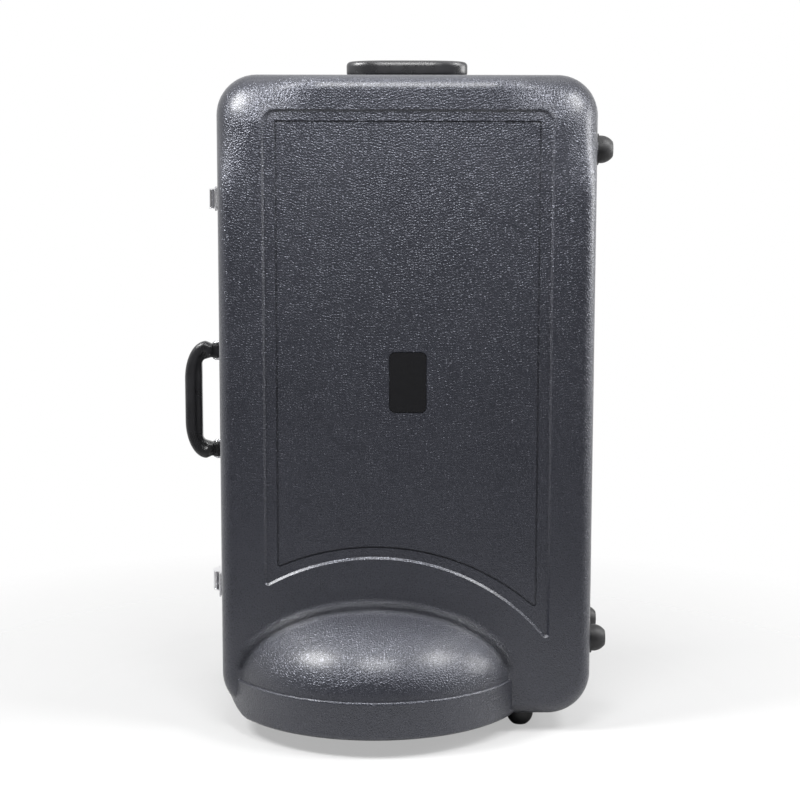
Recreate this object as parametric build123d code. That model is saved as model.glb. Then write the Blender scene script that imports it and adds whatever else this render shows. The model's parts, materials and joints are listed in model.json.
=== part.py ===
from build123d import *
import math
import os

# Euphonium case: two deep moulded shells that meet at a vertical seam, with a bell housing at the foot.
# It is drawn about its own centre line: X to the right, Y into the case from the seam, Z up from the
# underside. The front shell has negative Y. All sizes are millimetres.

# Case body
CASE_W = 469.0
CASE_H = 802.0
CASE_MID_Z = 399.0
TOP_CORNER_R = 51.0
LOW_CORNER_R = 55.0
HALF_DEPTH = 95.0
RIM_BAND = 42.0
DRAFT = 2.5
FACE_EDGE_R = 19.0
WALL = 3.0
WALL_X = CASE_W / 2
TOP_Z = CASE_MID_Z + CASE_H / 2
FLOOR_Z = CASE_MID_Z - CASE_H / 2

# Bell housing
BELL_X = -39.5
BELL_R = 197.5
BELL_FLOOR_Z = 0.3
SKIRT_TOP_Z = 48.0
LIP = 3.0
DOME_RISE = 104.0
SKIRT_EDGE_R = 5.0
DOME_BLEND_R = 6.0

# Stepped panel of each face
PANEL_LEFT = -177.5
PANEL_RIGHT = 179.5
PANEL_TOP = 756.0
PANEL_DEPTH = 2.5
PANEL_SLOPE = 48.0
PANEL_ARC_R = 275.0
PANEL_ARC_PEAK = 201.2
GROOVE_BAND = 16.0
GROOVE_TOP_BAND = 13.6
GROOVE_W = 2.4
GROOVE_DEPTH = 1.8
GROOVE_ARC_R = 302.0
GROOVE_ARC_PEAK = 215.1

# Badge pocket and plate, on the front shell alone
BADGE_X = 1.5
BADGE_Z = 423.0
BADGE_W = 47.0
BADGE_H = 76.0
BADGE_R = 7.5
BADGE_DEPTH = 1.6
BADGE_T = 1.2
BADGE_GAP = 0.8

# Rims: the groove is on the back shell and the tongue on the front shell
RIM_CAP_T = 1.6
RIM_CAP_W = 4.6
RIM_FLANGE = 14.0
RIM_FLANGE_T = 1.6
RIM_W = 10.6
GROOVE_WALL_DEPTH = 7.0
TONGUE = 4.0
TONGUE_INSET = 6.0
SEAM_GAP = 0.1

# Foam liner
LINER_FIT = 1.6
LINER_RIM = 11.0
LINER_REBATE = 14.0
LINER_EDGE = 1.0
CAVITY_DEPTH = 74.0
CAVITY_LEFT = -196.0
CAVITY_RIGHT = 196.0
CAVITY_TOP = 764.0
CAVITY_BOTTOM = 262.0
BODY_RIGHT = 108.0
BELL_WELL_INSET = 24.0
BELL_WELL_FLOOR = 26.0
THROAT_R_LOW = 118.0
THROAT_R_HIGH = 86.0
POCKET_LEFT = 134.0
POCKET_RIGHT = 198.0
POCKET_BOTTOM = 300.0
POCKET_TOP = 520.0
POCKET_DEPTH = 62.0

# Pocket flap
FLAP_T = 3.0
FLAP_Y = 4.0
FLAP_HINGE_R = 2.6
FLAP_PIN_R = 1.1

# Feet
FOOT_H = 20.5
FOOT_FLANGE_R = 19.5
FOOT_FLANGE_H = 2.5
FOOT_DOME_R = 17.0
FOOT_TIP_R = 9.5
FOOT_BORE_R = 5.0
FOOT_BORE_DEPTH = 14.0
FOOT_Y = 50.0
FOOT_SEAT_R = 21.0
SIDE_FOOT_LOW_Z = 90.0
SIDE_FOOT_HIGH_Z = 710.0
BOTTOM_FOOT_X = 147.0
SCREW_R = 2.2
SCREW_HEAD_R = 4.0

# Hinges on the right wall
HINGE_ZS = {"upper": 650.0, "middle": 400.0, "lower": 170.0}
HINGE_L = 62.0
HINGE_X = WALL_X + 4.5
HINGE_BARREL_R = 3.5
HINGE_PIN_R = 1.6
HINGE_LEAF_T = 1.2
HINGE_LEAF_W = 24.0
HINGE_KNUCKLES = 5
HINGE_GAP = 0.4
RUNNING_FIT = 0.06

# Bow handles
HANDLE_L = 153.0
HANDLE_REACH = 42.0
HANDLE_GRIP_W = 22.0
HANDLE_T = 19.0
HANDLE_STRAIGHT = 55.0
HANDLE_CORNER = 27.0
HANDLE_EDGE_R = 5.5
HANDLE_ARM_W = 18.0
HANDLE_ARM_X = 64.5
HANDLE_WINDOW = 104.0
HANDLE_TOE_T = 13.2
HANDLE_NECK = 8.0
HANDLE_STEP_IN = 13.5
HANDLE_STEP = 2.2
HANDLE_PIVOT_OUT = 11.5
HANDLE_PIVOT_Y = 18.0
HANDLE_PIN_R = 2.5
HANDLE_Z = 389.0
BRACKET_T = 1.5
BRACKET_L = 50.0
BRACKET_W = 20.0
BRACKET_RIVET = 18.5
EAR_GAP = 0.4

# Draw latches on the left wall
LATCH_ZS = {"upper": 649.0, "lower": 149.0}
LATCH_H = 41.0
LATCH_T = 1.5
LATCH_EAR_Z = 10.6
LATCH_EAR_T = 1.4
LEVER_W = 26.0
LEVER_CHEEK = 1.3
LEVER_PIVOT_OUT = 9.0
LEVER_PIVOT_Y = 12.0
LEVER_PIN_R = 1.5
LEVER_CREST = 20.5
LEVER_SHEET_Y = 17.0
LEVER_END_Y = 44.0
BAIL_ARM = 9.0
BAIL_DROP = 2.0
BAIL_PIN_R = 1.3
BAIL_STRIP = 2.0
BAIL_GAP = 0.4
BAIL_T = 1.5
KEEPER_LIP_OUT = 6.6
KEEPER_LIP_Y = -10.0
KEEPER_CLEAR = 0.4
KEEPER_W = 34.0
KEEPER_L = 26.0

# Rivets
RIVET_R = 2.0
RIVET_HEAD_R = 3.6
RIVET_HEAD_H = 1.3
RIVET_TAIL_H = 1.2

# Where the drawn case stands: on its feet, with its box centred on the origin
CASE_X = (HANDLE_PIVOT_OUT + HANDLE_REACH - FOOT_H) / 2
CASE_Z = FOOT_H - FLOOR_Z

FRONT = -1
BACK = 1


def facing(y):
    """A drawing plane across the case at depth y, seen from the front: X right, Z up."""
    return Plane(origin=(0, y, 0), x_dir=(1, 0, 0), z_dir=(0, -1, 0))


def block(x0, x1, y0, y1, z0, z1):
    """A box between two corners."""
    size = (x1 - x0, y1 - y0, z1 - z0)
    middle = ((x0 + x1) / 2, (y0 + y1) / 2, (z0 + z1) / 2)
    return Pos(*middle) * Box(*size)


def post(point, direction, radius, length):
    """A round bar from a point along a direction."""
    return Plane(origin=point, z_dir=direction) * Cylinder(
        radius, length, align=(Align.CENTER, Align.CENTER, Align.MIN)
    )


def outline(inset):
    """The case's outline as seen from the front, drawn in by an inset."""
    shape = Pos(0, CASE_MID_Z) * Rectangle(CASE_W - 2 * inset, CASE_H - 2 * inset)
    shape = fillet(shape.vertices().sort_by(Axis.Y)[:2], LOW_CORNER_R - inset)
    return fillet(shape.vertices().sort_by(Axis.Y)[-2:], TOP_CORNER_R - inset)


def ring(outer_inset, inner_inset, y0, y1):
    """A band that follows the outline, between two insets and two depths."""
    shape = outline(outer_inset) - outline(inner_inset)
    return extrude(facing(y1) * shape, amount=y1 - y0)


def mirrored(solid):
    """The same form on the other shell."""
    return mirror(solid, about=Plane.XZ)


def tray_block(inset):
    """One half of the body without its bell housing: straight at the rim, drafted above it."""
    band = extrude(facing(0) * outline(inset), amount=RIM_BAND)
    rest = HALF_DEPTH - RIM_BAND - inset
    taper = extrude(facing(-RIM_BAND) * outline(inset), amount=rest, taper=DRAFT)
    solid = band + taper
    face = solid.faces().sort_by(Axis.Y)[0]
    return fillet(face.edges(), FACE_EDGE_R - inset)


def bell_plane():
    """The drawing plane of the bell housing's turned profiles, through its upright axis."""
    return Plane(origin=(BELL_X, 0, 0), x_dir=(1, 0, 0), z_dir=(0, -1, 0))


def bell_turned(profile):
    """A profile turned about the bell housing's upright axis."""
    return revolve(bell_plane() * profile, axis=Axis((BELL_X, 0, 0), (0, 0, 1)))


def skirt_form(inset):
    """The round skirt of the bell housing, with a rounded foot and a rolled lip."""
    radius = BELL_R - inset
    low = BELL_FLOOR_Z + inset
    edge = SKIRT_EDGE_R - inset
    bow = math.sqrt(0.5)
    outer = Line((0, low), (radius - edge, low))
    outer += ThreePointArc(
        (radius - edge, low), (radius - edge + edge * bow, low + edge - edge * bow), (radius, low + edge)
    )
    outer += Line((radius, low + edge), (radius, SKIRT_TOP_Z - LIP))
    outer += ThreePointArc(
        (radius, SKIRT_TOP_Z - LIP),
        (radius - LIP + LIP * bow, SKIRT_TOP_Z - LIP + LIP * bow),
        (radius - LIP, SKIRT_TOP_Z),
    )
    outer += Line((radius - LIP, SKIRT_TOP_Z), (0, SKIRT_TOP_Z))
    outer += Line((0, SKIRT_TOP_Z), (0, low))
    return bell_turned(make_face(outer))


def dome_form(inset):
    """The dome above the skirt, blended into the face. The blend thins to nothing at the lip's ends."""
    radius = BELL_R - LIP - inset
    rise = DOME_RISE - inset
    blend = DOME_BLEND_R + inset
    face_y = -(HALF_DEPTH - inset)
    half = EllipticalCenterArc((0, SKIRT_TOP_Z), radius, rise, -90, arc_size=180)
    half += Line((0, SKIRT_TOP_Z + rise), (0, SKIRT_TOP_Z - rise))
    egg = bell_turned(make_face(half)) & block(-500, 500, -300, -1, -300, 500)
    slab = block(BELL_X - 300, BELL_X + 300, face_y, 0, -200, 400)
    solid = slab + egg
    rim = solid.edges().filter_by(lambda e: e.length > 700 and e.center().Y < face_y + 1)
    rim = rim.filter_by(GeomType.LINE, reverse=True)
    solid = fillet(rim, blend)
    half_width = math.sqrt(radius**2 - face_y**2) + 0.62 * blend
    height = rise * math.sqrt(1 - (face_y / radius) ** 2) + 0.8 * blend
    region = Pos(BELL_X, SKIRT_TOP_Z) * Ellipse(half_width, height)
    region &= Pos(BELL_X, SKIRT_TOP_Z + 149) * Rectangle(600, 300)
    return solid & extrude(facing(face_y + 2) * region, amount=300)


def half_form(inset):
    """Body and bell housing together."""
    reach = extrude(facing(0) * outline(inset), amount=BELL_R + 5)
    bell = (skirt_form(inset) + dome_form(inset)) & reach
    return tray_block(inset) + bell


def panel_shape():
    """The recessed panel: a tall rectangle whose lower side is the arc of the bell."""
    middle_x = (PANEL_LEFT + PANEL_RIGHT) / 2
    shape = Pos(middle_x, PANEL_TOP / 2) * Rectangle(PANEL_RIGHT - PANEL_LEFT, PANEL_TOP)
    shape -= Pos(BELL_X, PANEL_ARC_PEAK - PANEL_ARC_R) * Circle(PANEL_ARC_R)
    shape = keep_upper(shape)
    corners = shape.vertices().sort_by(Axis.Y)
    shape = fillet(corners[-2:], 18.0)
    corners = shape.vertices().sort_by(Axis.Y)
    return fillet(corners[:1] + left_tip(shape), 4.5)


def keep_upper(shape):
    """Of a shape cut in two, the part that reaches highest."""
    return Sketch() + shape.faces().sort_by(Axis.Y)[-1]


def left_tip(shape):
    """The lowest corner on the left side."""
    return [shape.vertices().filter_by(lambda v: v.X < -150).sort_by(Axis.Y)[0]]


def groove_shape():
    """The line inside the panel, as the closed outline of its outer edge."""
    left = PANEL_LEFT + GROOVE_BAND
    right = PANEL_RIGHT - GROOVE_BAND
    top = PANEL_TOP - GROOVE_TOP_BAND
    shape = Pos((left + right) / 2, top / 2) * Rectangle(right - left, top)
    shape -= Pos(BELL_X, GROOVE_ARC_PEAK - GROOVE_ARC_R) * Circle(GROOVE_ARC_R)
    shape = keep_upper(shape)
    corners = shape.vertices()
    return fillet(corners, 3.5)


def shell_wall():
    """The front shell without its badge pocket: 3 mm wall, stepped panel and groove."""
    face_y = -HALF_DEPTH
    panel = panel_shape()
    step = extrude(facing(face_y - 0.01) * panel, amount=-(PANEL_DEPTH + 0.01), taper=PANEL_SLOPE)
    backing = extrude(facing(face_y + WALL - 0.01) * panel, amount=-(PANEL_DEPTH + 0.01))
    groove_outer = groove_shape()
    line = groove_outer - offset(groove_outer, amount=-GROOVE_W)
    groove = extrude(facing(face_y) * line, amount=-(PANEL_DEPTH + GROOVE_DEPTH))
    body = half_form(0) + foot_seats()
    hollow = half_form(WALL) - backing
    seam = block(-400, 400, -(SEAM_GAP + RIM_CAP_T), 1, FLOOR_Z - 5, TOP_Z + 5)
    return body - hollow - step - groove - seam


def foot_seats():
    """Flat round pads on the drafted walls, under the feet of the front shell."""
    seats = []
    for z in (SIDE_FOOT_LOW_Z, SIDE_FOOT_HIGH_Z):
        seats.append(post((WALL_X - WALL - 1, -FOOT_Y, z), (1, 0, 0), FOOT_SEAT_R, WALL + 1))
    for x in (-BOTTOM_FOOT_X, BOTTOM_FOOT_X):
        seats.append(post((x, -FOOT_Y, FLOOR_Z + WALL + 1), (0, 0, -1), FOOT_SEAT_R, WALL + 1))
    return seats[0] + seats[1] + seats[2] + seats[3]


def badge_pocket():
    """The pocket that the badge plate lies in."""
    shape = Pos(BADGE_X, BADGE_Z) * RectangleRounded(BADGE_W, BADGE_H, BADGE_R)
    floor_y = -HALF_DEPTH + PANEL_DEPTH + BADGE_DEPTH
    return extrude(facing(floor_y) * shape, amount=PANEL_DEPTH + BADGE_DEPTH)


def badge_plate():
    """The plate itself, bare, with a small bevel round its face."""
    shape = Pos(BADGE_X, BADGE_Z) * RectangleRounded(
        BADGE_W - 2 * BADGE_GAP, BADGE_H - 2 * BADGE_GAP, BADGE_R - BADGE_GAP
    )
    floor_y = -HALF_DEPTH + PANEL_DEPTH + BADGE_DEPTH
    plate = extrude(facing(floor_y) * shape, amount=BADGE_T)
    front = plate.faces().sort_by(Axis.Y)[0]
    return chamfer(front.edges(), 0.4)


def back_rim():
    """Aluminium rim of the back shell: a cap over the wall's edge, a flange inside it and a groove."""
    cap = ring(0, RIM_CAP_W, SEAM_GAP, SEAM_GAP + RIM_CAP_T)
    flange = ring(WALL, WALL + RIM_FLANGE_T, SEAM_GAP, RIM_FLANGE)
    floor = ring(WALL, RIM_W, GROOVE_WALL_DEPTH - RIM_CAP_T, GROOVE_WALL_DEPTH)
    lip = ring(RIM_W - RIM_FLANGE_T, RIM_W, SEAM_GAP, GROOVE_WALL_DEPTH)
    return cap + flange + floor + lip


def front_rim():
    """Aluminium rim of the front shell, with the tongue that enters the groove."""
    cap = ring(0, TONGUE_INSET + RIM_CAP_T, -SEAM_GAP - RIM_CAP_T, -SEAM_GAP)
    flange = ring(WALL, WALL + RIM_FLANGE_T, -RIM_FLANGE, -SEAM_GAP)
    tongue = ring(TONGUE_INSET, TONGUE_INSET + RIM_CAP_T, -SEAM_GAP - RIM_CAP_T, TONGUE)
    return cap + flange + tongue


def bell_well():
    """The hollow for the instrument's bell, in the front liner."""
    radius = BELL_R - BELL_WELL_INSET
    rise = DOME_RISE - BELL_WELL_INSET + 6
    outer = Line((0, BELL_WELL_FLOOR), (radius, BELL_WELL_FLOOR))
    outer += Line((radius, BELL_WELL_FLOOR), (radius, SKIRT_TOP_Z))
    outer += EllipticalCenterArc((0, SKIRT_TOP_Z), radius, rise, 0, arc_size=90)
    outer += Line((0, SKIRT_TOP_Z + rise), (0, BELL_WELL_FLOOR))
    return bell_turned(make_face(outer))


def throat():
    """The tapering channel from the bell well up to the body's hollow."""
    low_z = SKIRT_TOP_Z + 40
    cone = Pos(BELL_X, 0, (low_z + CAVITY_BOTTOM) / 2 + 10) * Cone(
        THROAT_R_LOW, THROAT_R_HIGH, CAVITY_BOTTOM - low_z + 40
    )
    return cone & block(-300, 300, -CAVITY_DEPTH, CAVITY_DEPTH, 0, 600)


def hollow(x0, x1, z0, z1, depth, corner):
    """A hollow with rounded corners that opens at the seam, on the front side."""
    shape = Pos((x0 + x1) / 2, (z0 + z1) / 2) * RectangleRounded(x1 - x0, z1 - z0, corner)
    solid = extrude(facing(1) * shape, amount=depth + 1)
    floor = solid.faces().sort_by(Axis.Y)[0]
    return fillet(floor.edges(), 14.0)


def liner_blank():
    """The front foam block: it fills the shell, and steps in beside the rim."""
    blank = half_form(WALL + LINER_FIT)
    backing = extrude(
        facing(-HALF_DEPTH + WALL - 0.01) * offset(panel_shape(), amount=LINER_FIT),
        amount=-(PANEL_DEPTH + LINER_FIT + 0.01),
    )
    rebate = ring(0, LINER_RIM, -LINER_REBATE, 1)
    seam = block(-400, 400, -LINER_EDGE, 1, FLOOR_Z - 5, TOP_Z + 5)
    return blank - backing - rebate - seam


def front_liner():
    """The lid's liner: one wide hollow, so that the pocket flap has room to lift."""
    wide = hollow(CAVITY_LEFT, CAVITY_RIGHT + 8, CAVITY_BOTTOM, CAVITY_TOP, CAVITY_DEPTH, 40.0)
    return liner_blank() - wide - throat() - bell_well()


def back_liner():
    """The base's liner: the body's hollow on the left and the accessory pocket on the right."""
    body = mirrored(hollow(CAVITY_LEFT, BODY_RIGHT, CAVITY_BOTTOM, CAVITY_TOP, CAVITY_DEPTH, 40.0))
    shape = Pos((POCKET_LEFT + POCKET_RIGHT) / 2, (POCKET_BOTTOM + POCKET_TOP) / 2) * RectangleRounded(
        POCKET_RIGHT - POCKET_LEFT, POCKET_TOP - POCKET_BOTTOM, 10.0
    )
    pocket = extrude(facing(POCKET_DEPTH) * shape, amount=POCKET_DEPTH + 1)
    seat = block(
        POCKET_LEFT - 12,
        POCKET_RIGHT + 4,
        -1,
        FLAP_Y + FLAP_T + 0.5,
        POCKET_BOTTOM - 6,
        POCKET_TOP + 6,
    )
    hinge_x = flap_hinge_x()
    trough = FLAP_HINGE_R + 0.6
    middle_y = FLAP_Y + FLAP_T / 2
    hinge_room = block(
        hinge_x - trough, hinge_x + trough, -1, middle_y + trough, POCKET_BOTTOM - 6, POCKET_TOP + 6
    )
    return mirrored(liner_blank()) - body - pocket - seat - hinge_room - throat() - bell_well()


def foot(seat, direction):
    """A rubber foot with its flange on the wall: a dome with a flat tip and a bore for the screw."""
    dome_start = FOOT_FLANGE_H + 1.5
    rise = FOOT_H - dome_start
    outer = Line((FOOT_BORE_R, 0), (FOOT_FLANGE_R, 0))
    outer += Line((FOOT_FLANGE_R, 0), (FOOT_FLANGE_R, FOOT_FLANGE_H))
    outer += Line((FOOT_FLANGE_R, FOOT_FLANGE_H), (FOOT_DOME_R, FOOT_FLANGE_H))
    outer += Line((FOOT_DOME_R, FOOT_FLANGE_H), (FOOT_DOME_R, dome_start))
    outer += ThreePointArc(
        (FOOT_DOME_R, dome_start),
        (FOOT_TIP_R + (FOOT_DOME_R - FOOT_TIP_R) * 0.72, dome_start + rise * 0.62),
        (FOOT_TIP_R, FOOT_H),
    )
    outer += Line((FOOT_TIP_R, FOOT_H), (FOOT_BORE_R, FOOT_H))
    outer += Line((FOOT_BORE_R, FOOT_H), (FOOT_BORE_R, 0))
    profile = Plane.XZ * make_face(outer)
    body = revolve(profile, axis=Axis.Z)
    web_bottom = FOOT_H - FOOT_BORE_DEPTH
    web = Pos(0, 0, web_bottom / 2) * (
        Cylinder(FOOT_BORE_R, web_bottom) - Cylinder(SCREW_R + RUNNING_FIT, web_bottom)
    )
    return Plane(origin=seat, z_dir=direction) * (body + web)


def foot_screw(seat, direction):
    """The screw of one foot: a pan head in the bore and a shank through the wall."""
    head_z = FOOT_H - FOOT_BORE_DEPTH
    shank = Pos(0, 0, (head_z - WALL) / 2) * Cylinder(SCREW_R, head_z + WALL)
    head = Pos(0, 0, head_z + 1.2) * Cylinder(SCREW_HEAD_R, 2.4)
    head = fillet(head.faces().sort_by(Axis.Z)[-1].edges(), 1.0)
    slot = Pos(0, 0, head_z + 2.4) * (Box(4.4, 0.9, 1.6) + Box(0.9, 4.4, 1.6))
    return Plane(origin=seat, z_dir=direction) * (shank + head - slot)


def foot_places(side):
    """Name, seat and direction of the four feet on one shell."""
    y = side * FOOT_Y
    return {
        "side_foot_upper": ((WALL_X, y, SIDE_FOOT_HIGH_Z), (1, 0, 0)),
        "side_foot_lower": ((WALL_X, y, SIDE_FOOT_LOW_Z), (1, 0, 0)),
        "bottom_foot_left": ((-BOTTOM_FOOT_X, y, FLOOR_Z), (0, 0, -1)),
        "bottom_foot_right": ((BOTTOM_FOOT_X, y, FLOOR_Z), (0, 0, -1)),
    }


def screw_holes(side):
    """Holes for the foot screws of one shell."""
    places = foot_places(side).values()
    return [
        post(
            tuple(seat[i] - direction[i] * (WALL + 2) for i in range(3)),
            direction,
            SCREW_R + RUNNING_FIT,
            WALL + 4,
        )
        for seat, direction in places
    ]


def hinge_leaf(z, side):
    """One leaf of a butt hinge: a plate on the wall and every other knuckle round the pin."""
    near, far = 1.5, 1.5 + HINGE_LEAF_W
    z0, z1 = z - HINGE_L / 2, z + HINGE_L / 2
    leaf = block(WALL_X, WALL_X + HINGE_LEAF_T, near, far, z0, z1)
    outer = leaf.edges().filter_by(Axis.X).sort_by(Axis.Y)[-2:]
    leaf = fillet(outer, 5.0)
    pitch = HINGE_L / HINGE_KNUCKLES
    first = 0 if side == BACK else 1
    for i in range(first, HINGE_KNUCKLES, 2):
        low = z0 + i * pitch + HINGE_GAP / 2
        high = z0 + (i + 1) * pitch - HINGE_GAP / 2
        barrel = post((HINGE_X, 0, low), (0, 0, 1), HINGE_BARREL_R, high - low)
        root = block(WALL_X, HINGE_X - 1.2, 0.0, near + 2.0, low, high)
        root &= post((HINGE_X, 0, low), (0, 0, 1), HINGE_BARREL_R + 2.2, high - low)
        leaf += barrel + root
    leaf -= post((HINGE_X, 0, z0 - 1), (0, 0, 1), HINGE_PIN_R + RUNNING_FIT, HINGE_L + 2)
    return leaf if side == BACK else mirrored(leaf)


def hinge_pin(z):
    """The hinge's pin, with a small head at each end."""
    low = z - HINGE_L / 2
    pin = post((HINGE_X, 0, low), (0, 0, 1), HINGE_PIN_R, HINGE_L)
    for end, direction in ((low, -1), (low + HINGE_L, 1)):
        head = post((HINGE_X, 0, end), (0, 0, direction), HINGE_PIN_R + 1.2, 1.4)
        pin += head
    return pin


def bow_outline(inset):
    """Half of the handle's outer outline, pivot line at Y = 0, drawn in by an inset."""
    top = HANDLE_REACH - inset
    half = HANDLE_L / 2 - inset
    flat = HANDLE_STRAIGHT / 2
    shoulder = HANDLE_REACH - HANDLE_CORNER
    foot_x = HANDLE_ARM_X + HANDLE_ARM_W / 2 - inset
    low = -HANDLE_TOE_T / 2
    outer = Line((0, top), (flat, top))
    outer += EllipticalCenterArc((flat, shoulder), half - flat, top - shoulder, 0, arc_size=90)
    outer += Line((half, shoulder), (foot_x, HANDLE_NECK))
    outer += Line((foot_x, HANDLE_NECK), (foot_x, low))
    outer += Line((foot_x, low), (0, low))
    outer += Line((0, low), (0, top))
    return make_face(outer)


def bow_window():
    """Half of the gap between grip and pivots."""
    half = HANDLE_WINDOW / 2
    top = HANDLE_REACH - HANDLE_GRIP_W
    arm_in = HANDLE_ARM_X - HANDLE_ARM_W / 2
    low = -HANDLE_TOE_T / 2
    shape = make_face(
        Polyline((0, low), (0, top), (half, top), (arm_in, HANDLE_NECK), (arm_in, low), (0, low))
    )
    corner = [v for v in shape.vertices() if v.Y > top - 0.1 and v.X > 1]
    return fillet(corner, 7.0)


def both_halves(shape):
    """A half outline and its mirror image."""
    return shape + mirror(shape, about=Plane.YZ)


def handle_form():
    """A bow handle in the XZ plane: pivots on the X axis, grip out along +Z, inner flanks stepped in."""
    shape = both_halves(bow_outline(0) - bow_window())
    solid = extrude(Plane.XZ * shape, amount=HANDLE_T / 2, both=True)
    sides = solid.faces().filter_by(Axis.Y)
    rims = [edge for face in sides for edge in face.edges() if edge.bounding_box().max.Z > -1]
    solid = fillet(rims, HANDLE_EDGE_R)
    core = both_halves(bow_outline(HANDLE_STEP_IN) - Pos(0, -HANDLE_TOE_T) * Rectangle(400, 4 * HANDLE_TOE_T))
    flank = HANDLE_T / 2 - HANDLE_STEP
    for side in (-1, 1):
        cut = extrude(Plane.XZ * core, amount=HANDLE_STEP + 1)
        solid -= Pos(0, side * (flank + (HANDLE_STEP + 1) / 2) + (HANDLE_STEP + 1) / 2, 0) * cut
    toe_half = HANDLE_TOE_T / 2
    for side in (-1, 1):
        y0, y1 = sorted((side * toe_half, side * HANDLE_T))
        solid -= block(-HANDLE_L, HANDLE_L, y0, y1, -HANDLE_TOE_T, 6.0)
        arm = side * HANDLE_ARM_X
        solid -= block(arm - 20, arm + 20, -HANDLE_T, HANDLE_T, -HANDLE_TOE_T, 0)
    for side in (-1, 1):
        solid += Pos(side * HANDLE_ARM_X, 0, 0) * Rot(0, 90, 0) * Cylinder(toe_half, HANDLE_ARM_W)
    bore = Rot(0, 90, 0) * Cylinder(HANDLE_PIN_R + RUNNING_FIT, HANDLE_L + 20)
    return solid - bore


def handle_bracket(end):
    """The bracket of one handle arm: a plate on the wall and two ears that hold the pin."""
    x = end * HANDLE_ARM_X
    base = -HANDLE_PIVOT_OUT
    half_l, half_w = BRACKET_L / 2, BRACKET_W / 2
    plate = block(x - half_l, x + half_l, -half_w, half_w, base, base + BRACKET_T)
    bracket = fillet(plate.edges().filter_by(Axis.Z), 6.0)
    for side in (-1, 1):
        ear_x = x + side * (HANDLE_ARM_W / 2 + EAR_GAP + BRACKET_T / 2)
        ear = block(ear_x - BRACKET_T / 2, ear_x + BRACKET_T / 2, -6.0, 6.0, base, 0)
        ear += Pos(ear_x, 0, 0) * Rot(0, 90, 0) * Cylinder(6.0, BRACKET_T)
        bracket += ear
    bore = Pos(x, 0, 0) * Rot(0, 90, 0) * Cylinder(HANDLE_PIN_R + RUNNING_FIT, BRACKET_L - 4)
    return bracket - bore


def handle_pin(end):
    """The pin through one arm and its two ears, with a flat head at each end."""
    grip = HANDLE_ARM_W + 2 * (EAR_GAP + BRACKET_T) + 0.4
    pin = Cylinder(HANDLE_PIN_R, grip)
    for side in (-1, 1):
        pin += Pos(0, 0, side * (grip / 2 + 0.6)) * Cylinder(HANDLE_PIN_R + 1.2, 1.2)
    return Pos(end * HANDLE_ARM_X, 0, 0) * Rot(0, 90, 0) * pin


def on_side_wall(solid):
    """Moves a handle part from its own frame to the left wall, the grip standing out."""
    place = Plane(
        origin=(-WALL_X - HANDLE_PIVOT_OUT, HANDLE_PIVOT_Y, HANDLE_Z),
        x_dir=(0, 0, 1),
        z_dir=(-1, 0, 0),
    )
    return place * solid


def on_top_wall(solid):
    """Moves a bracket part from its own frame to the top wall."""
    return Pos(0, HANDLE_PIVOT_Y, TOP_Z + HANDLE_PIVOT_OUT) * solid


def folded_on_top(solid):
    """Moves the handle to the top wall and lays it down over the seam, towards the front."""
    return on_top_wall(Rot(90, 0, 0) * solid)


def place_latch(solid, z):
    """Moves a latch part from its own frame, where X is out of the wall, to the left wall."""
    return Pos(-WALL_X, 0, z) * mirror(solid, about=Plane.YZ)


def latch_plate():
    """The latch's base plate with the two ears of the lever's pivot."""
    half = LATCH_H / 2
    plate = block(0, LATCH_T, 4.0, 36.0, -half, half)
    plate = fillet(plate.edges().filter_by(Axis.X), 4.0)
    for z in (-LATCH_EAR_Z, LATCH_EAR_Z):
        z0, z1 = z - LATCH_EAR_T / 2, z + LATCH_EAR_T / 2
        plate += block(0, LEVER_PIVOT_OUT, LEVER_PIVOT_Y - 3.5, LEVER_PIVOT_Y + 3.5, z0, z1)
        plate += Pos(LEVER_PIVOT_OUT, LEVER_PIVOT_Y, z) * Cylinder(3.5, LATCH_EAR_T)
    return plate - Pos(LEVER_PIVOT_OUT, LEVER_PIVOT_Y, 0) * Cylinder(LEVER_PIN_R + RUNNING_FIT, 60)


def headed_pin(radius, length, head):
    """A pin along Z with a thin head at each end."""
    pin = Cylinder(radius, length)
    for side in (-1, 1):
        pin += Pos(0, 0, side * (length / 2 + 0.4)) * Cylinder(radius + head, 0.8)
    return pin


def latch_pin():
    """The pin of the lever's pivot."""
    inner = LATCH_EAR_Z - LATCH_EAR_T / 2 - 0.6
    pin = Cylinder(LEVER_PIN_R, LEVER_W + 0.4)
    pin += Cylinder(LEVER_PIN_R + 0.8, 2 * inner)
    return Pos(LEVER_PIVOT_OUT, LEVER_PIVOT_Y, 0) * pin


def bail_pivot():
    """Where the bail's pin sits on the closed lever: beyond the lever's pivot and nearer the wall."""
    return LEVER_PIVOT_OUT - BAIL_DROP, LEVER_PIVOT_Y + BAIL_ARM


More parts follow.
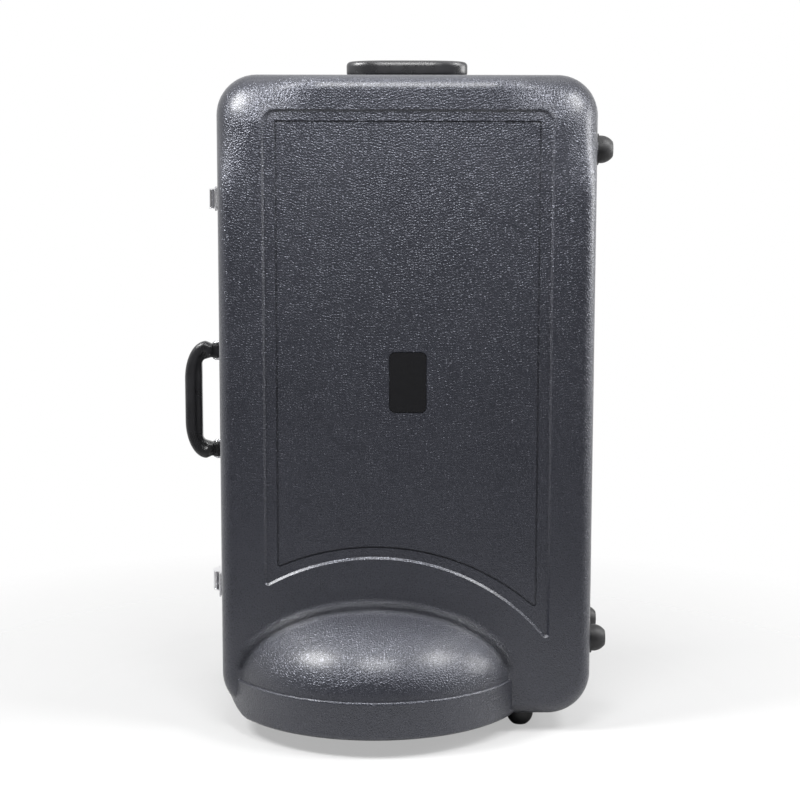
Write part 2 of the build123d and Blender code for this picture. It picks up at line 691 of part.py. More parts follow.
def latch_lever():
    """The lever: a bowed sheet between two cheeks, with a finger lip. The cheeks alone reach the pivot."""
    half = LEVER_W / 2
    pivot_y = LEVER_PIVOT_Y
    crest = LEVER_CREST
    end = LEVER_END_Y
    outer = Line((5.4, pivot_y - 3.6), (9.0, pivot_y - 4.6))
    outer += Line((9.0, pivot_y - 4.6), (13.0, pivot_y - 1.0))
    outer += ThreePointArc((13.0, pivot_y - 1.0), (crest, 26.0), (13.5, end - 6.0))
    outer += Line((13.5, end - 6.0), (15.5, end))
    outer += Line((15.5, end), (14.0, end + 0.4))
    outer += Line((14.0, end + 0.4), (10.5, end - 6.0))
    outer += Line((10.5, end - 6.0), (4.2, 30.0))
    outer += Line((4.2, 30.0), (4.2, pivot_y - 1.0))
    outer += Line((4.2, pivot_y - 1.0), (5.4, pivot_y - 3.6))
    solid = extrude(make_face(outer), amount=half, both=True)
    inner = Line((0, 0), (30, 0))
    inner += Line((30, 0), (30, LEVER_SHEET_Y))
    inner += Line((30, LEVER_SHEET_Y), (15.2, LEVER_SHEET_Y))
    inner += ThreePointArc((15.2, LEVER_SHEET_Y), (crest - 1.5, 26.0), (12.0, end - 6.6))
    inner += Line((12.0, end - 6.6), (0, end - 6.6))
    inner += Line((0, end - 6.6), (0, 0))
    solid -= extrude(make_face(inner), amount=half - LEVER_CHEEK, both=True)
    x, y = bail_pivot()
    solid -= Pos(LEVER_PIVOT_OUT, pivot_y, 0) * Cylinder(LEVER_PIN_R + RUNNING_FIT, 80)
    return solid - Pos(x, y, 0) * Cylinder(BAIL_PIN_R + RUNNING_FIT, 80)


def bail_pin():
    """The pin through the lever's cheeks and the bail's two arms."""
    x, y = bail_pivot()
    length = LEVER_W + 2 * (BAIL_GAP + BAIL_STRIP) + 0.4
    return Pos(x, y, 0) * headed_pin(BAIL_PIN_R, length, 0.8)


def latch_bail():
    """The bail: a flat loop outside the lever's cheeks that reaches from its pin over the keeper's lip."""
    x, y = bail_pivot()
    half = LEVER_W / 2 + BAIL_GAP + BAIL_STRIP
    low = KEEPER_LIP_OUT + KEEPER_CLEAR
    reach = KEEPER_LIP_Y - 4.5
    flank = Polyline(
        (x - 0.8, y),
        (low, 6.0),
        (low, reach + 1.0),
        (low + 0.8, reach),
        (low + 1.9, reach + 0.8),
        (low + BAIL_T, 5.8),
        (x + 1.2, y),
        (x - 0.8, y),
    )
    solid = extrude(make_face(flank), amount=half, both=True)
    solid += Pos(x, y, 0) * Cylinder(BAIL_PIN_R + 1.2, 2 * half)
    inner = half - BAIL_STRIP
    solid -= block(-5, 40, KEEPER_LIP_Y + 3.0, y + 8, -inner, inner)
    return solid - Pos(x, y, 0) * Cylinder(BAIL_PIN_R + RUNNING_FIT, 80)


def latch_keeper():
    """The keeper on the lid: a plate whose near edge rises to a rolled lip."""
    half = KEEPER_W / 2
    near = KEEPER_LIP_Y + 4.0
    plate = block(0, LATCH_T, near - KEEPER_L, near, -half, half)
    plate = fillet(plate.edges().filter_by(Axis.X).sort_by(Axis.Y)[:2], 5.0)
    roll_r = 1.7
    riser = block(0, KEEPER_LIP_OUT - roll_r, KEEPER_LIP_Y - 0.8, KEEPER_LIP_Y + 0.8, 3 - half, half - 3)
    roll = Pos(KEEPER_LIP_OUT - roll_r, KEEPER_LIP_Y - 0.6, 0) * Cylinder(roll_r, KEEPER_W - 6)
    return plate + riser + roll


def rivet(point, direction, grip):
    """One rivet: a domed head on its seat, a shank and an upset tail inside."""
    head = Pos(0, 0, 0) * Cone(RIVET_HEAD_R, RIVET_HEAD_R * 0.55, RIVET_HEAD_H)
    head = Pos(0, 0, RIVET_HEAD_H / 2) * head
    shank = Pos(0, 0, -grip / 2) * Cylinder(RIVET_R, grip)
    tail = Pos(0, 0, -grip - RIVET_TAIL_H / 2) * Cylinder(RIVET_R + 0.8, RIVET_TAIL_H)
    return Plane(origin=point, z_dir=direction) * (head + shank + tail)


def rivet_places(side):
    """Point, direction and grip of each rivet on one shell."""
    through = WALL + RIM_FLANGE_T
    places = []
    hinge_y = side * (RIM_FLANGE - 3.5)
    for z in HINGE_ZS.values():
        for step in (-20.0, 0.0, 20.0):
            point = (WALL_X + HINGE_LEAF_T, hinge_y, z + step)
            places.append((point, (1, 0, 0), through + HINGE_LEAF_T))
    for x in (-150.0, -50.0, 50.0, 150.0):
        places.append(((x, hinge_y, FLOOR_Z), (0, 0, -1), through))
    top_xs = (-150.0, 150.0) if side == BACK else (-150.0, -50.0, 50.0, 150.0)
    for x in top_xs:
        places.append(((x, hinge_y, TOP_Z), (0, 0, 1), through))
    side_zs = (90.0, 220.0, 560.0, 725.0) if side == BACK else (90.0, 220.0, 330.0, 450.0, 560.0, 725.0)
    for z in side_zs:
        places.append(((-WALL_X, hinge_y, z), (-1, 0, 0), through))
    for z in (60.0, 285.0, 525.0, 745.0):
        places.append(((WALL_X, hinge_y, z), (1, 0, 0), through))
    if side == BACK:
        places += back_fitting_rivets()
    else:
        places += keeper_rivets()
    return places


def back_fitting_rivets():
    """Rivets of the latch plates and the handle brackets, beyond the rim's flange."""
    places = []
    for z in LATCH_ZS.values():
        for step in (-8.0, 8.0):
            places.append(((-WALL_X - LATCH_T, 29.0, z + step), (-1, 0, 0), WALL + LATCH_T))
    for end in (-HANDLE_ARM_X, HANDLE_ARM_X):
        for step in (-BRACKET_RIVET, BRACKET_RIVET):
            along = end + step
            side_point = (-WALL_X - BRACKET_T, HANDLE_PIVOT_Y, HANDLE_Z + along)
            top_point = (along, HANDLE_PIVOT_Y, TOP_Z + BRACKET_T)
            places.append((side_point, (-1, 0, 0), WALL + BRACKET_T))
            places.append((top_point, (0, 0, 1), WALL + BRACKET_T))
    return places


def keeper_rivets():
    """Rivets of the two keepers on the lid."""
    places = []
    y = KEEPER_LIP_Y - 11.5
    for z in LATCH_ZS.values():
        for step in (-9.0, 9.0):
            places.append(((-WALL_X - LATCH_T, y, z + step), (-1, 0, 0), WALL + LATCH_T))
    return places


def rivet_holes(side):
    """One bore through plate, wall and flange for each rivet of a shell."""
    holes = []
    for point, direction, grip in rivet_places(side):
        start = tuple(point[i] - direction[i] * (grip + 2) for i in range(3))
        holes.append(post(start, direction, RIVET_R + RUNNING_FIT, grip + 4))
    return holes


def flap_hinge_x():
    """The flap's hinge line, left of the pocket."""
    return POCKET_LEFT - 6.0


def pocket_flap():
    """The pocket's flap: a thin board with a finger notch, and the moving knuckles of its hinge."""
    x = flap_hinge_x()
    board = block(x + 4.0, POCKET_RIGHT + 2.5, FLAP_Y, FLAP_Y + FLAP_T, POCKET_BOTTOM - 4, POCKET_TOP + 4)
    board = fillet(board.edges().filter_by(Axis.Y).sort_by(Axis.X)[-2:], 10.0)
    middle = (POCKET_BOTTOM + POCKET_TOP) / 2
    board -= post((POCKET_RIGHT + 6, FLAP_Y - 1, middle), (0, 1, 0), 14.0, FLAP_T + 2)
    y = FLAP_Y + FLAP_T / 2
    for low, high in flap_knuckles(1):
        board += post((x, y, low), (0, 0, 1), FLAP_HINGE_R, high - low)
        board += block(x, x + 5, y - 0.8, y + 0.8, low, high)
    return board - post((x, y, POCKET_BOTTOM - 10), (0, 0, 1), FLAP_PIN_R + RUNNING_FIT, 260)


def flap_knuckles(first):
    """Heights of every other knuckle of the flap's hinge."""
    low, high = POCKET_BOTTOM, POCKET_TOP
    count = 11
    pitch = (high - low) / count
    return [
        (low + i * pitch + HINGE_GAP / 2, low + (i + 1) * pitch - HINGE_GAP / 2)
        for i in range(first, count, 2)
    ]


def pocket_hinge_strip():
    """The fixed leaf of the flap's hinge, let into the foam."""
    x = flap_hinge_x()
    y = FLAP_Y + FLAP_T / 2
    floor_y = FLAP_Y + FLAP_T + 0.5
    strip = block(x - 6.0, x - FLAP_HINGE_R - 0.3, floor_y - 1.2, floor_y, POCKET_BOTTOM, POCKET_TOP)
    for low, high in flap_knuckles(0):
        strip += post((x, y, low), (0, 0, 1), FLAP_HINGE_R, high - low)
        strip += block(x - 4.0, x - 1.0, y + 0.4, floor_y, low, high)
    return strip - post((x, y, POCKET_BOTTOM - 10), (0, 0, 1), FLAP_PIN_R + RUNNING_FIT, 260)


def pocket_hinge_pin():
    """The pin of the flap's hinge."""
    return post(
        (flap_hinge_x(), FLAP_Y + FLAP_T / 2, POCKET_BOTTOM), (0, 0, 1), FLAP_PIN_R, POCKET_TOP - POCKET_BOTTOM
    )


def cut_all(solid, cutters):
    """A solid less a list of cutters."""
    return solid.cut(*cutters) if cutters else solid


def group(solids):
    """Separate solids under one name."""
    return Compound(children=list(solids))


def shell_parts():
    """The two shells, their rims and liners, and the badge plate."""
    wall = shell_wall()
    parts = {
        "front_shell": cut_all(wall - badge_pocket(), rivet_holes(FRONT) + screw_holes(FRONT)),
        "back_shell": cut_all(mirrored(wall), rivet_holes(BACK) + screw_holes(BACK)),
        "front_valance": cut_all(front_rim(), rivet_holes(FRONT)),
        "back_valance": cut_all(back_rim(), rivet_holes(BACK)),
        "front_liner": front_liner(),
        "back_liner": back_liner(),
        "badge_plate": badge_plate(),
    }
    return parts


def foot_parts():
    """The eight feet and their screws."""
    parts = {}
    for side, word in ((FRONT, "front"), (BACK, "back")):
        places = foot_places(side)
        for name, (seat, direction) in places.items():
            parts[f"{word}_{name}"] = foot(seat, direction)
        parts[f"{word}_foot_screws"] = group([foot_screw(*place) for place in places.values()])
    return parts


def hinge_parts():
    """Three hinges, each with two leaves and a pin."""
    parts = {}
    holes = {side: rivet_holes(side) for side in (FRONT, BACK)}
    for name, z in HINGE_ZS.items():
        parts[f"{name}_hinge_base_leaf"] = cut_all(hinge_leaf(z, BACK), holes[BACK])
        parts[f"{name}_hinge_lid_leaf"] = cut_all(hinge_leaf(z, FRONT), holes[FRONT])
        parts[f"{name}_hinge_pin"] = hinge_pin(z)
    return parts


def handle_parts():
    """The two bow handles with their brackets and pins."""
    form = handle_form()
    holes = rivet_holes(BACK)
    parts = {"side_handle": on_side_wall(form), "top_handle": folded_on_top(form)}
    for word, place in (("side", on_side_wall), ("top", on_top_wall)):
        parts[f"{word}_handle_brackets"] = group(
            [cut_all(place(handle_bracket(end)), holes) for end in (-1, 1)]
        )
        parts[f"{word}_handle_pins"] = group([place(handle_pin(end)) for end in (-1, 1)])
    return parts


def latch_parts():
    """The two draw latches: plate, lever, bail and pins on the base, keeper on the lid."""
    parts = {}
    for name, z in LATCH_ZS.items():
        parts[f"{name}_latch_plate"] = cut_all(place_latch(latch_plate(), z), rivet_holes(BACK))
        parts[f"{name}_latch_pin"] = place_latch(latch_pin(), z)
        parts[f"{name}_latch_lever"] = place_latch(latch_lever(), z)
        parts[f"{name}_bail_pin"] = place_latch(bail_pin(), z)
        parts[f"{name}_latch_bail"] = place_latch(latch_bail(), z)
        parts[f"{name}_latch_keeper"] = cut_all(place_latch(latch_keeper(), z), rivet_holes(FRONT))
    return parts


def pocket_parts():
    """The accessory pocket's flap, hinge strip and pin."""
    return {
        "pocket_flap": pocket_flap(),
        "pocket_hinge_strip": pocket_hinge_strip(),
        "pocket_hinge_pin": pocket_hinge_pin(),
    }


def rivet_parts():
    """The rivets of each shell."""
    return {
        "front_rivets": group([rivet(*place) for place in rivet_places(FRONT)]),
        "back_rivets": group([rivet(*place) for place in rivet_places(BACK)]),
    }


def all_parts():
    """Every piece of the case by name, in its drawn place."""
    parts = {}
    for make in (shell_parts, foot_parts, hinge_parts, handle_parts, latch_parts, pocket_parts, rivet_parts):
        parts.update(make())
    return parts


def main():
    os.makedirs("parts", exist_ok=True)
    stand = Pos(CASE_X, 0, CASE_Z)
    for name, solid in all_parts().items():
        export_step(stand * solid, f"parts/{name}.step")


main()
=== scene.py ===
import json
import math

import bpy
from mathutils import Matrix, Vector


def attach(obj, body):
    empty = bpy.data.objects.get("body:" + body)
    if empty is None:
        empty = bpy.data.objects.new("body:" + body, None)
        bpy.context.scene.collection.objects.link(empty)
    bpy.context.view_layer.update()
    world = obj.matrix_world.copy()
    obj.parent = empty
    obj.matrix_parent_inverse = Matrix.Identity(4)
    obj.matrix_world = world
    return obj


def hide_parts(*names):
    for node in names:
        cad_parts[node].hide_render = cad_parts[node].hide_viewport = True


# Looks of a hard euphonium case: grained black shells, chrome latches, rubber feet and a plush lining.
# Lengths are in metres. The scale of a pattern is the number of its features in a metre.

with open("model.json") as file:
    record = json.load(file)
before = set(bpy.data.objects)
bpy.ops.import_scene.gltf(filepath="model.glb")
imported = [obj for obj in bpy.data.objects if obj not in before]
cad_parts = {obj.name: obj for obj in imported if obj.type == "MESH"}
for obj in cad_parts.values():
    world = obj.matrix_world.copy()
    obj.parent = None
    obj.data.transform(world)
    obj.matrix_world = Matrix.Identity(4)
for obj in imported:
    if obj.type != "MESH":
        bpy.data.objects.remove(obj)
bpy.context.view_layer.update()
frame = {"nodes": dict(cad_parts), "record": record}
nodes = frame["nodes"]

# Camera
CAMERA_AT = (0.0083, -2.068, 0.6525)
CAMERA_PITCH = math.radians(-6.6)
CAMERA_ROLL = math.radians(0.09)
LENS_MM = 72.36
SENSOR_MM = 36.0

# The shells, seen from the front. A pair named EASE says where an effect begins and where it is full.
SHELL_MID_X = 0.0165
SHELL_HALF_W = 0.2345
SHELL_TOP_Z = 0.8225
FACE_Y = 0.095
FACE_EASE = (0.017, 0.003)

# Rounding of the shells' top corners, from distances to the side wall and to the top wall
CORNER_ROUND = 0.02
CORNER_SIDE_EASE = (0.085, 0.03)
CORNER_TOP_EASE = (0.10, 0.04)

# Fall of the shells' margins towards the top corners. Its slope grows by CROWN in a metre.
CROWN = 14.0
CROWN_SIDE = 0.06
CROWN_TOP = 0.066
CROWN_SIDE_EASE = (0.13, 0.04)
CROWN_TOP_EASE = (0.15, 0.05)

# Rounding where the elliptical dome of the bell housing meets the face. BELL_REACH is in shares of the dome's size.
BELL_AT = (-0.023, 0.0705)
BELL_HALF_W = 0.170
BELL_RISE = 0.091
BELL_ROUND = 0.024
BELL_REACH = (0.06, 0.34)
BELL_EASE_Z = 0.02

# Rounding of the small parts' edges
HANDLE_ROUND = 0.006
METAL_ROUND = 0.0018
ROUND_SAMPLES = 6

# Plush
FOAM_VOXEL = 0.005
SOFTEN_FACTOR = 0.5
SOFTEN_STEPS = 5
UNEVEN_SIZE = 0.035
UNEVEN_DEPTH = 0.0016

# Room: the light of its walls, and the part of the front where it is dim
WHITE = 1.0
WORLD_FILL = 0.34
FRONT_FILL = 0.18
FRONT_EASE_Y = (-0.75, 0.15)

# Floor
FLOOR_COLOR = 0.5
FLOOR_SHADE = 0.58
FLOOR_SOLID_R = 0.45
FLOOR_FADE_R = 1.05
FLOOR_SIZE = 4.4

# Name, place, target, size and watts of each softbox: high on both sides, near the top of the front, overhead,
# and low on the hinge side
SOFTBOXES = [
    ("softbox_left", (-1.15, -0.52, 1.72), (-0.03, 0, 0.5), 0.6, 44.0),
    ("softbox_right", (1.2, -0.45, 1.72), (0.03, 0, 0.5), 0.6, 27.0),
    ("softbox_near", (0, -0.8, 1.42), (0, 0, 0.75), 0.5, 14.0),
    ("softbox_top", (0, 0.15, 2.2), (0, 0, 0), 1.5, 8.0),
    ("softbox_side", (1.7, 0.1, 0.9), (0, 0, 0.1), 0.8, 19.0),
]


def add_node(tree, kind, sockets=None, **props):
    """A node of a tree, with its properties and socket values set."""
    made = tree.nodes.new(kind)
    for key, value in props.items():
        setattr(made, key, value)
    for key, value in (sockets or {}).items():
        made.inputs[key].default_value = value
    return made


def join(tree, source, target):
    """Links one socket to another."""
    tree.links.new(source, target)


def feed(tree, value, target):
    """Gives a socket a plain number or the value of another socket."""
    if isinstance(value, (int, float)):
        target.default_value = value
    else:
        join(tree, value, target)


def new_material(name, **sockets):
    """A material with a Principled shader whose uniform values are set on its own sockets."""
    material = bpy.data.materials.new(name)
    material.use_nodes = True
    tree = material.node_tree
    shader = tree.nodes["Principled BSDF"]
    for key, value in sockets.items():
        shader.inputs[key.replace("_", " ")].default_value = value
    return material, tree, shader


def place_coords(tree, stretch=(1, 1, 1)):
    """The piece's own coordinates, stretched per axis."""
    coords = add_node(tree, "ShaderNodeTexCoord")
    mapping = add_node(tree, "ShaderNodeMapping", {"Scale": stretch})
    join(tree, coords.outputs["Object"], mapping.inputs["Vector"])
    return mapping.outputs["Vector"]


def split_coords(tree, kind="Object"):
    """The X, Y and Z of a kind of coordinates."""
    coords = add_node(tree, "ShaderNodeTexCoord")
    split = add_node(tree, "ShaderNodeSeparateXYZ")
    join(tree, coords.outputs[kind], split.inputs["Vector"])
    return split.outputs


def noise(tree, coords, scale, detail=2.0, roughness=0.5):
    """A noise pattern."""
    made = add_node(
        tree, "ShaderNodeTexNoise", {"Scale": scale, "Detail": detail, "Roughness": roughness}
    )
    join(tree, coords, made.inputs["Vector"])
    return made.outputs["Fac"]


def cells(tree, coords, scale):
    """A cell pattern, as the distance to the nearest edge of a cell."""
    made = add_node(tree, "ShaderNodeTexVoronoi", {"Scale": scale}, feature="DISTANCE_TO_EDGE")
    join(tree, coords, made.inputs["Vector"])
    return made.outputs["Distance"]


def ranged(tree, value, low, high, start=0.0, end=1.0):
    """A value moved from the range start to end into the range low to high."""
    made = add_node(
        tree,
        "ShaderNodeMapRange",
        {"From Min": start, "From Max": end, "To Min": low, "To Max": high},
    )
    join(tree, value, made.inputs["Value"])
    return made.outputs["Result"]


def eased(tree, value, start, end):
    """A value eased from 0 at the start to 1 at the end."""
    made = add_node(
        tree,
        "ShaderNodeMapRange",
        {"From Min": start, "From Max": end},
        interpolation_type="SMOOTHSTEP",
    )
    join(tree, value, made.inputs["Value"])
    return made.outputs["Result"]


def blended(tree, value, low_color, high_color, start=0.3, end=0.7):
    """A colour between two colours."""
    ramp = add_node(tree, "ShaderNodeValToRGB")
    first, last = ramp.color_ramp.elements
    first.position, last.position = start, end
    first.color, last.color = (*low_color, 1), (*high_color, 1)
    join(tree, value, ramp.inputs["Fac"])
    return ramp.outputs["Color"]


def figured(tree, operation, *values):
    """The result of one sum on sockets and plain numbers."""
    made = add_node(tree, "ShaderNodeMath", operation=operation)
    for spot, value in enumerate(values):
        feed(tree, value, made.inputs[spot])
    return made.outputs["Value"]


def added(tree, height, other, share):
    """One height plus a share of another."""
    return figured(tree, "MULTIPLY_ADD", other, share, height)


def from_middle(tree, x):
    """How far a point of a shell is from the middle of its width."""
    return figured(tree, "ABSOLUTE", figured(tree, "SUBTRACT", x, SHELL_MID_X))


def rounding(tree):
    """How far a shell is rounded off: most at the top corners and where the bell housing begins."""
    x, _, z = split_coords(tree)
    start, end = (SHELL_HALF_W - inward for inward in CORNER_SIDE_EASE)
    near_side = ranged(tree, from_middle(tree, x), 0.0, CORNER_ROUND, start, end)
    start, end = (SHELL_TOP_Z - down for down in CORNER_TOP_EASE)
    near_top = ranged(tree, z, 0.0, 1.0, start, end)
    corner = figured(tree, "MULTIPLY", near_side, near_top)
    bell_x, bell_z = BELL_AT
    aside = figured(tree, "DIVIDE", figured(tree, "SUBTRACT", x, bell_x), BELL_HALF_W)
    up = figured(tree, "DIVIDE", figured(tree, "SUBTRACT", z, bell_z), BELL_RISE)
    square = figured(tree, "ADD", figured(tree, "POWER", aside, 2.0), figured(tree, "POWER", up, 2.0))
    reach = figured(tree, "ABSOLUTE", figured(tree, "SUBTRACT", figured(tree, "SQRT", square), 1.0))
    bell = ranged(tree, reach, BELL_ROUND, 0.0, *BELL_REACH)
    above = ranged(tree, z, 0.0, 1.0, bell_z, bell_z + BELL_EASE_Z)
    return figured(tree, "MAXIMUM", corner, figured(tree, "MULTIPLY", bell, above))


def crown(tree):
    """How far the margin of a shell has fallen, as a height below 0."""
    x, _, z = split_coords(tree)
    across = from_middle(tree, x)
    out = figured(tree, "MAXIMUM", figured(tree, "SUBTRACT", across, SHELL_HALF_W - CROWN_SIDE), 0.0)
    up = figured(tree, "MAXIMUM", figured(tree, "SUBTRACT", z, SHELL_TOP_Z - CROWN_TOP), 0.0)
    near_side = eased(tree, across, *(SHELL_HALF_W - inward for inward in CROWN_SIDE_EASE))
    near_top = eased(tree, z, *(SHELL_TOP_Z - down for down in CROWN_TOP_EASE))
    sideways = figured(tree, "MULTIPLY", figured(tree, "POWER", out, 2.0), near_top)
    upwards = figured(tree, "MULTIPLY", figured(tree, "POWER", up, 2.0), near_side)
    return figured(tree, "MULTIPLY", figured(tree, "ADD", sideways, upwards), -CROWN / 2)


def rounded(tree, radius):
    """The surface's direction with its edges rounded off by a radius."""
    bevel = add_node(tree, "ShaderNodeBevel", samples=ROUND_SAMPLES)
    feed(tree, radius, bevel.inputs["Radius"])
    return bevel.outputs["Normal"]


def moulded_form(tree):
    """A shell's surface direction, with rounded edges and, on its face, the margins' fall."""
    plain = rounded(tree, rounding(tree))
    fallen = add_node(tree, "ShaderNodeBump", {"Strength": 1.0, "Distance": 1.0})
    join(tree, crown(tree), fallen.inputs["Height"])
    join(tree, plain, fallen.inputs["Normal"])
    depth = figured(tree, "ABSOLUTE", split_coords(tree)["Y"])
    on_face = eased(tree, depth, *(FACE_Y - inward for inward in FACE_EASE))
    mix = add_node(tree, "ShaderNodeMix", data_type="VECTOR")
    factor, a, b, result = mix.inputs[0], mix.inputs[4], mix.inputs[5], mix.outputs[1]
    join(tree, on_face, factor)
    join(tree, plain, a)
    join(tree, fallen.outputs["Normal"], b)
    unit = add_node(tree, "ShaderNodeVectorMath", operation="NORMALIZE")
    join(tree, result, unit.inputs[0])
    return unit.outputs["Vector"]


def bumped(tree, shader, height, distance, strength, over=None):
    """Raises the surface of a shader by a height, over a surface direction of its own."""
    made = add_node(tree, "ShaderNodeBump", {"Strength": strength, "Distance": distance})
    if over is not None:
        join(tree, over, made.inputs["Normal"])
    join(tree, height, made.inputs["Height"])
    join(tree, made.outputs["Normal"], shader.inputs["Normal"])


def grained_plastic():
    """Thermoformed ABS with a haircell grain: flat pebbles with fine creases between them."""
    material, tree, shader = new_material(
        "grained_abs",
        Specular_IOR_Level=0.6,
        Specular_Tint=(0.84, 0.87, 1.0, 1.0),
        Coat_Weight=0.55,
        Coat_Roughness=0.3,
        Coat_IOR=1.5,
    )
    coords = place_coords(tree)
    pebbles = ranged(tree, cells(tree, coords, scale=330.0), low=0.0, high=1.0, end=0.34)
    fine = noise(tree, coords, scale=620.0, detail=3.0, roughness=0.6)
    broad = noise(tree, coords, scale=11.0)
    color = blended(tree, broad, (0.0115, 0.0122, 0.0172), (0.0150, 0.0158, 0.0215))
    join(tree, color, shader.inputs["Base Color"])
    join(tree, ranged(tree, fine, low=0.24, high=0.36, start=0.3, end=0.7), shader.inputs["Roughness"])
    form = moulded_form(tree)
    join(tree, form, shader.inputs["Coat Normal"])
    grain = added(tree, pebbles, fine, share=0.8)
    bumped(tree, shader, grain, distance=0.00045, strength=0.9, over=form)
    return material


def satin_plastic():
    """Injection moulded handle plastic, smooth with a faint texture."""
    material, tree, shader = new_material("handle_satin", Specular_IOR_Level=0.5)
    coords = place_coords(tree)
    fine = noise(tree, coords, scale=900.0, detail=3.0)
    broad = noise(tree, coords, scale=40.0)
    color = blended(tree, broad, (0.010, 0.010, 0.011), (0.016, 0.016, 0.018))
    join(tree, color, shader.inputs["Base Color"])
    join(tree, ranged(tree, broad, low=0.24, high=0.34, start=0.3, end=0.7), shader.inputs["Roughness"])
    bumped(tree, shader, fine, distance=0.00004, strength=0.5, over=rounded(tree, HANDLE_ROUND))
    return material


def gloss_plate():
    """The bare badge plate: polished black with hairline marks."""
    material, tree, shader = new_material("badge_gloss", Specular_IOR_Level=0.5)
    marks = noise(tree, place_coords(tree, stretch=(60.0, 1.0, 900.0)), scale=1.0, detail=3.0)
    color = blended(tree, marks, (0.006, 0.006, 0.007), (0.009, 0.009, 0.010))
    join(tree, color, shader.inputs["Base Color"])
    join(tree, ranged(tree, marks, low=0.06, high=0.14, start=0.3, end=0.7), shader.inputs["Roughness"])
    bumped(tree, shader, marks, distance=0.00001, strength=0.3)
    return material


def black_rubber():
    """Moulded rubber of the feet, a little dusty."""
    material, tree, shader = new_material("foot_rubber", Specular_IOR_Level=0.4)
    coords = place_coords(tree)
    fine = noise(tree, coords, scale=1400.0, detail=4.0)
    dust = noise(tree, coords, scale=60.0, detail=3.0)
    color = blended(tree, dust, (0.010, 0.010, 0.011), (0.020, 0.020, 0.021), start=0.35, end=0.75)
    join(tree, color, shader.inputs["Base Color"])
    join(tree, ranged(tree, dust, low=0.42, high=0.6, start=0.3, end=0.7), shader.inputs["Roughness"])
    bumped(tree, shader, fine, distance=0.00006, strength=0.5)
    return material


def metal(name, color, roughness, stretch, depth):
    """A metal with finish marks, which run along one axis where the stretch differs."""
    material, tree, shader = new_material(name, Metallic=1.0)
    marks = noise(tree, place_coords(tree, stretch), scale=1.0, detail=4.0, roughness=0.6)
    dark = tuple(part * 0.9 for part in color)
    join(tree, blended(tree, marks, dark, color), shader.inputs["Base Color"])
    join(tree, ranged(tree, marks, *roughness, start=0.3, end=0.7), shader.inputs["Roughness"])
    bumped(tree, shader, marks, distance=depth, strength=0.4, over=rounded(tree, METAL_ROUND))
    return material


def plush_cloth():
    """Short dark plush: a soft pile that lies a little unevenly."""
    material, tree, shader = new_material(
        "plush_pile",
        Roughness=0.95,
        Specular_IOR_Level=0.15,
        Sheen_Weight=0.6,
        Sheen_Roughness=0.4,
        Sheen_Tint=(0.55, 0.58, 0.66, 1.0),
    )
    coords = place_coords(tree)
    pile = noise(tree, coords, scale=1700.0, detail=3.0, roughness=0.7)
    lay = noise(tree, coords, scale=26.0, detail=3.0, roughness=0.6)
    color = blended(tree, lay, (0.016, 0.017, 0.020), (0.034, 0.036, 0.042), start=0.35, end=0.68)
    join(tree, color, shader.inputs["Base Color"])
    bumped(tree, shader, added(tree, pile, lay, share=0.6), distance=0.0006, strength=0.9)
    return material


def dress(node_name, material):
    """Gives a CAD node its finished material."""
    piece = nodes[node_name]
    if not piece.material_slots:
        piece.data.materials.append(material)
    for slot in piece.material_slots:
        slot.material = material


def shown_mesh(piece):
    """The mesh of a piece with its modifiers applied."""
    bpy.context.view_layer.update()
    depsgraph = bpy.context.evaluated_depsgraph_get()
    return bpy.data.meshes.new_from_object(piece.evaluated_get(depsgraph))


def plush_liner(node_name, material):
    """The plush covered foam of one shell, with softened edges and a slightly uneven pile."""
    piece = bpy.data.objects.new(f"{node_name}_plush", nodes[node_name].data.copy())
    bpy.context.scene.collection.objects.link(piece)
    remesh = piece.modifiers.new("foam", "REMESH")
    remesh.mode = "VOXEL"
    remesh.voxel_size = FOAM_VOXEL
    smooth = piece.modifiers.new("soften", "SMOOTH")
    smooth.factor = SOFTEN_FACTOR
    smooth.iterations = SOFTEN_STEPS
    puff = bpy.data.textures.new(f"{node_name}_puff", "CLOUDS")
    puff.noise_scale = UNEVEN_SIZE
    uneven = piece.modifiers.new("uneven", "DISPLACE")
    uneven.texture = puff
    uneven.texture_coords = "LOCAL"
    uneven.strength = UNEVEN_DEPTH
    uneven.mid_level = 1.0
    mesh = shown_mesh(piece)
    piece.modifiers.clear()
    piece.data = mesh
    mesh.materials.clear()
    mesh.materials.append(material)
    for face in mesh.polygons:
        face.use_smooth = True
    return piece


def softbox(name, at, target, size, watts):
    """A square studio softbox at a place, facing its target."""
    lamp = bpy.data.lights.new(name, "AREA")
    lamp.shape = "SQUARE"
    lamp.size = size
    lamp.energy = watts
    thing = bpy.data.objects.new(name, lamp)
    bpy.context.scene.collection.objects.link(thing)
    thing.visible_camera = False
    thing.location = at
    thing.rotation_euler = (Vector(target) - Vector(at)).to_track_quat("-Z", "Y").to_euler()


def make_world():
    """A white room as the camera, gloss and glass see it. All but the camera find its front dim."""
    world = bpy.data.worlds.new("room")
    bpy.context.scene.world = world
    world.use_nodes = True
    tree = world.node_tree
    background = tree.nodes["Background"]
    background.inputs["Color"].default_value = (1, 1, 1, 1)
    path = add_node(tree, "ShaderNodeLightPath")
    camera_ray = path.outputs["Is Camera Ray"]
    seen = figured(tree, "MAXIMUM", camera_ray, path.outputs["Is Glossy Ray"])
    seen = figured(tree, "MAXIMUM", seen, path.outputs["Is Transmission Ray"])
    strength = ranged(tree, seen, WORLD_FILL, WHITE)
    front = ranged(tree, split_coords(tree, "Generated")["Y"], FRONT_FILL, 1.0, *FRONT_EASE_Y)
    share = figured(tree, "MAXIMUM", front, camera_ray)
    join(tree, figured(tree, "MULTIPLY", strength, share), background.inputs["Strength"])


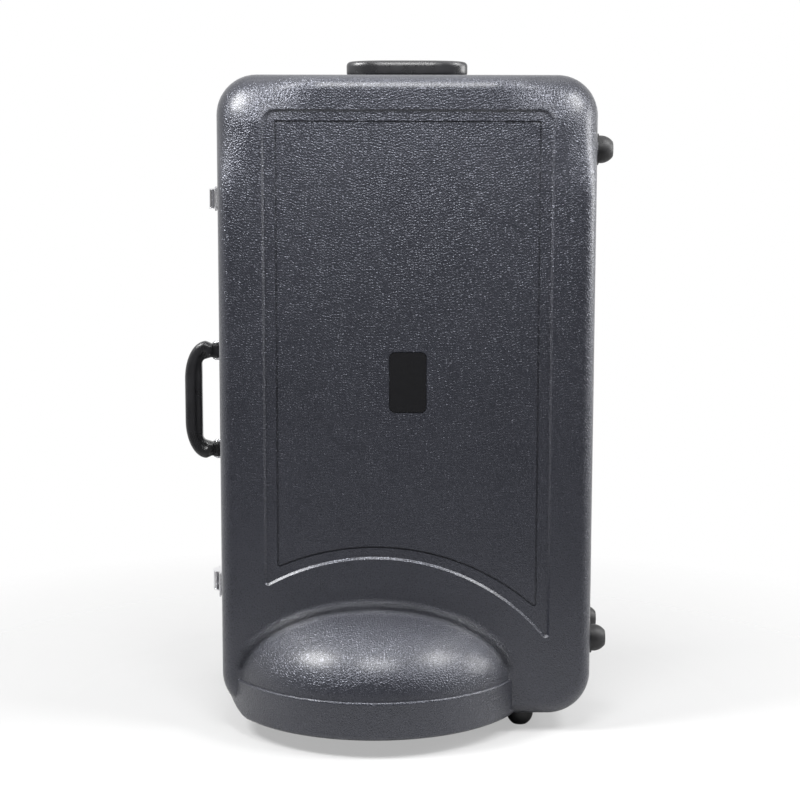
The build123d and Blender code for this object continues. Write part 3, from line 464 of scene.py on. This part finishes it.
def mixed(tree, share, first, second):
    """A shader between two shaders."""
    mix = add_node(tree, "ShaderNodeMixShader")
    join(tree, share, mix.inputs["Fac"])
    join(tree, first, mix.inputs[1])
    join(tree, second, mix.inputs[2])
    return mix.outputs["Shader"]


def make_floor():
    """A white floor that fades into the white room and keeps the object's shadow."""
    mesh = bpy.data.meshes.new("floor")
    half = FLOOR_SIZE / 2
    corners = [(-half, -half, 0), (half, -half, 0), (half, half, 0), (-half, half, 0)]
    mesh.from_pydata(corners, [], [(0, 1, 2, 3)])
    floor = bpy.data.objects.new("floor", mesh)
    bpy.context.scene.collection.objects.link(floor)
    material = bpy.data.materials.new("floor_white")
    material.use_nodes = True
    tree = material.node_tree
    tree.nodes.remove(tree.nodes["Principled BSDF"])
    matte = add_node(tree, "ShaderNodeBsdfDiffuse", {"Color": (FLOOR_COLOR, FLOOR_COLOR, FLOOR_COLOR, 1)})
    lit = add_node(tree, "ShaderNodeEmission", {"Strength": WHITE})
    path = add_node(tree, "ShaderNodeLightPath")
    share = ranged(tree, path.outputs["Is Camera Ray"], 0.0, 1.0 - FLOOR_SHADE)
    sheet = mixed(tree, share, matte.outputs["BSDF"], lit.outputs["Emission"])
    coords = add_node(tree, "ShaderNodeTexCoord")
    length = add_node(tree, "ShaderNodeVectorMath", operation="LENGTH")
    join(tree, coords.outputs["Object"], length.inputs[0])
    fade = ranged(tree, length.outputs["Value"], 0.0, 1.0, FLOOR_SOLID_R, FLOOR_FADE_R)
    clear = add_node(tree, "ShaderNodeBsdfTransparent")
    surface = mixed(tree, fade, sheet, clear.outputs["BSDF"])
    join(tree, surface, tree.nodes["Material Output"].inputs["Surface"])
    mesh.materials.append(material)


def make_camera():
    """The photograph's viewpoint: in front of the upper half of the case, looking a little down."""
    data = bpy.data.cameras.new("camera")
    data.lens = LENS_MM
    data.sensor_width = SENSOR_MM
    camera = bpy.data.objects.new("camera", data)
    bpy.context.scene.collection.objects.link(camera)
    tilt = Matrix.Rotation(math.pi / 2 + CAMERA_PITCH, 4, "X")
    roll = Matrix.Rotation(CAMERA_ROLL, 4, "Z")
    camera.matrix_world = Matrix.Translation(CAMERA_AT) @ tilt @ roll
    bpy.context.scene.camera = camera


def dress_all(plush):
    """A finished material for every CAD node."""
    by_slot = {
        "case_plastic": grained_plastic(),
        "handle_plastic": satin_plastic(),
        "badge_black": gloss_plate(),
        "rubber": black_rubber(),
        "plush": plush,
        "flap_board": plush,
        "chrome": metal(
            "latch_chrome",
            color=(0.80, 0.80, 0.82),
            roughness=(0.05, 0.16),
            stretch=(300.0, 300.0, 300.0),
            depth=0.00001,
        ),
        "rim_metal": metal(
            "rim_aluminium",
            color=(0.72, 0.72, 0.74),
            roughness=(0.28, 0.42),
            stretch=(900.0, 900.0, 12.0),
            depth=0.00003,
        ),
        "steel": metal(
            "rivet_steel",
            color=(0.60, 0.60, 0.62),
            roughness=(0.22, 0.36),
            stretch=(500.0, 500.0, 500.0),
            depth=0.00002,
        ),
    }
    for part in frame["record"]["subparts"]:
        dress(part["node"], by_slot[part["material_slot"]])


def make_liners(plush):
    """The lining of both shells."""
    for side, body in (("front", "lid"), ("back", "base")):
        name = f"{side}_liner"
        piece = plush_liner(name, plush)
        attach(piece, body)
        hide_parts(name)


def main():
    bpy.context.scene.view_settings.view_transform = "Standard"
    make_world()
    make_floor()
    for row in SOFTBOXES:
        softbox(*row)
    make_camera()
    plush = plush_cloth()
    dress_all(plush)
    make_liners(plush)


main()
